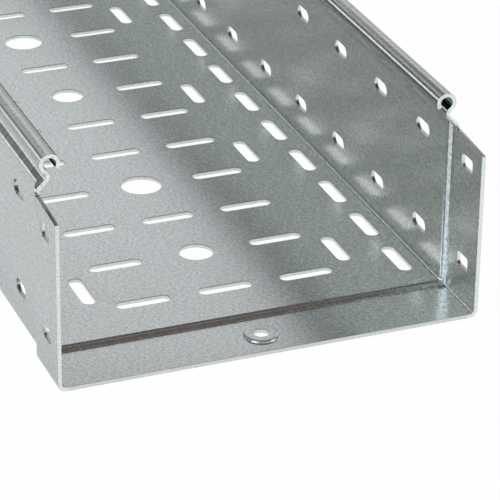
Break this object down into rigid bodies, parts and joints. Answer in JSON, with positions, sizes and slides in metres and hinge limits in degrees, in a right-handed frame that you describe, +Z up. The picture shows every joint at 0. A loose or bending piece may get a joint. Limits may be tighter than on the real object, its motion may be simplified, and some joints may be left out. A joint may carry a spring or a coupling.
{
  "type": "perforated cable tray",
  "caption": "Length of U-section cable tray folded from punched galvanised sheet, with rolled rims and a joggled lap at one end.",
  "frame": {"origin": "middle of the tray's length and width, on the level floor under it, which the underside of the lap touches", "axes": "+Y along the tray from the lap end to the plain end, +X across it, +Z up out of the open side"},
  "size_m": [0.2082, 2, 0.1044],
  "materials": {
    "galvanised_steel": "bright hot-dip zinc coating, faintly mottled"
  },
  "bodies": {
    "root": {"tray": "galvanised_steel"}
  },
  "joints": []
}
